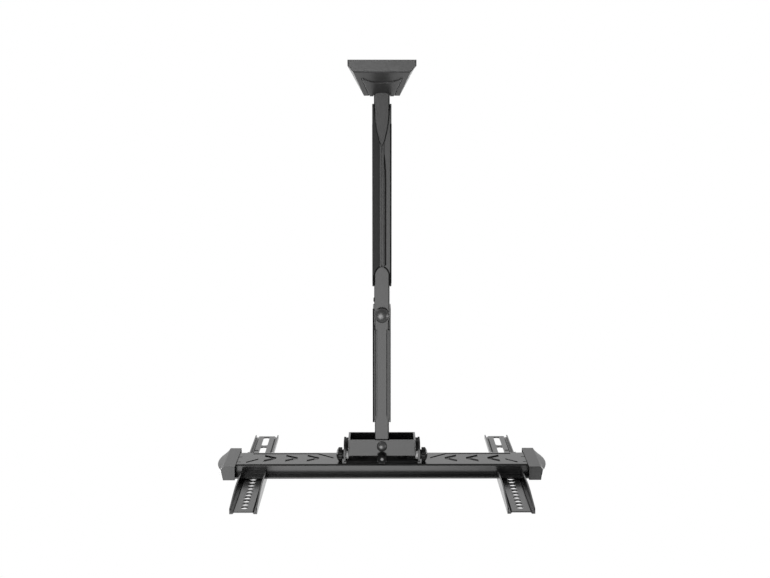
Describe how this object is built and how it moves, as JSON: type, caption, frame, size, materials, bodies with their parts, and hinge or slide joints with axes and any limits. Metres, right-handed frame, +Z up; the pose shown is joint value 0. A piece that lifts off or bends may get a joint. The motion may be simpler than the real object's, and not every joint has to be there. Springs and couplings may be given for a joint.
{
  "type": "tv wall mount",
  "caption": "Full-motion television wall mount: wall plate under hoods, folding arms with cable sleeves, swivel and tilt head, crossbar and sliding uprights.",
  "frame": {"origin": "middle of the wall plate's back face, level with the middle of the arms", "axes": "+Z up, the wall is the plane Y = 0 and the screen faces -Y, +X to the right seen from the screen"},
  "size_m": [0.5194, 0.6466, 0.43],
  "materials": {
    "steel": "satin charcoal powder coat",
    "cover": "fine-grained moulded plastic",
    "sleeve": "satin moulded plastic",
    "knob": "moulded plastic",
    "fastener": "black oxide",
    "washer": "plain"
  },
  "bodies": {
    "wall_bracket": {"wall_plate": "steel", "wall_cover_lower": "cover", "wall_cover_upper": "cover", "wall_pivot_bolt": "fastener", "wall_pivot_nut": "fastener", "wall_pivot_washers": "washer"},
    "first_arm": {"inner_arm": "steel", "inner_arm_sleeve": "sleeve", "elbow_bolt": "fastener", "elbow_nut": "fastener", "elbow_cap_lower": "cover", "elbow_cap_upper": "cover"},
    "second_arm": {"outer_arm": "steel", "outer_arm_sleeve": "sleeve", "elbow_washers": "washer", "head_washers": "washer"},
    "swivel_head": {"swivel_bracket": "steel", "head_pivot_bolt": "fastener", "head_pivot_nut": "fastener", "tilt_bolts": "fastener", "tilt_washers": "washer"},
    "tilt_head": {"tilt_bracket": "steel", "knob_washers": "fastener", "level_bolts": "fastener", "level_nuts": "fastener", "level_lock_screw": "fastener"},
    "knob_right": {"tilt_knob_right": "knob"},
    "knob_left": {"tilt_knob_left": "knob"},
    "bar": {"crossbar": "steel", "end_cap_right": "cover", "end_cap_left": "cover"},
    "rail_right": {"upright_right": "steel", "latch_screw_right": "fastener"},
    "rail_left": {"upright_left": "steel", "latch_screw_left": "fastener"}
  },
  "joints": [
    {"name": "wall_swivel", "type": "hinge", "parent": "wall_bracket", "child": "first_arm", "pos_m": [0, -0.034, 0], "axis": [0, 0, 1], "range_deg": [-90, 90]},
    {"name": "elbow_swivel", "type": "hinge", "parent": "first_arm", "child": "second_arm", "pos_m": [0, -0.388, 0], "axis": [0, 0, 1], "range_deg": [-120, 120]},
    {"name": "head_swivel", "type": "hinge", "parent": "second_arm", "child": "swivel_head", "pos_m": [0, -0.597, 0], "axis": [0, 0, -1], "range_deg": [-50, 50]},
    {"name": "tilt", "type": "hinge", "parent": "swivel_head", "child": "tilt_head", "pos_m": [0, -0.612, -0.0165], "axis": [1, 0, 0], "range_deg": [-5, 15]},
    {"name": "knob_right_turn", "type": "hinge", "parent": "swivel_head", "child": "knob_right", "pos_m": [0.065, -0.612, -0.0165], "axis": [1, 0, 0], "continuous": true},
    {"name": "knob_left_turn", "type": "hinge", "parent": "swivel_head", "child": "knob_left", "pos_m": [-0.065, -0.612, -0.0165], "axis": [-1, 0, 0], "continuous": true},
    {"name": "level_turn", "type": "hinge", "parent": "tilt_head", "child": "bar", "pos_m": [0, -0.6231, 0], "axis": [0, 1, 0], "range_deg": [-3, 3]},
    {"name": "rail_right_slide", "type": "slide", "parent": "bar", "child": "rail_right", "axis": [-1, 0, 0], "range_m": [-0.007, 0.1]},
    {"name": "rail_left_slide", "type": "slide", "parent": "bar", "child": "rail_left", "axis": [1, 0, 0], "range_m": [-0.007, 0.1]}
  ]
}
